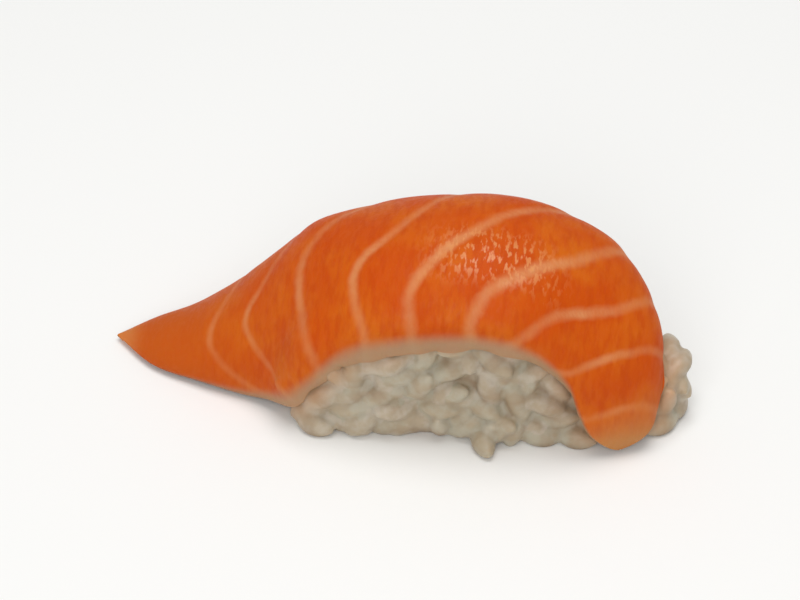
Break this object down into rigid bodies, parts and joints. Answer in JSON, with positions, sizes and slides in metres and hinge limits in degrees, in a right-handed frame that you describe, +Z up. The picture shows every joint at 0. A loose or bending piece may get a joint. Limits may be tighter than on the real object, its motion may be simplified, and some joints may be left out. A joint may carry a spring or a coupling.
{
  "type": "salmon nigiri",
  "caption": "Piece of nigiri sushi: a thick slice of raw salmon, pointed at its tail and tongue-shaped at its head, draped over a pressed block of rice.",
  "frame": {"origin": "under the middle of the whole piece, on the surface that it stands on", "axes": "+X along the piece from the slice's pointed tail to its tongue end, +Z up, -Y towards the side the picture shows"},
  "size_m": [0.0806, 0.031, 0.0283],
  "materials": {
    "cooked_rice": "moist, sticky cooked short grains, slightly see-through",
    "raw_salmon": "wet raw salmon flesh with pale lines of fat"
  },
  "bodies": {
    "root": {"rice": "cooked_rice", "salmon": "raw_salmon"}
  },
  "joints": []
}
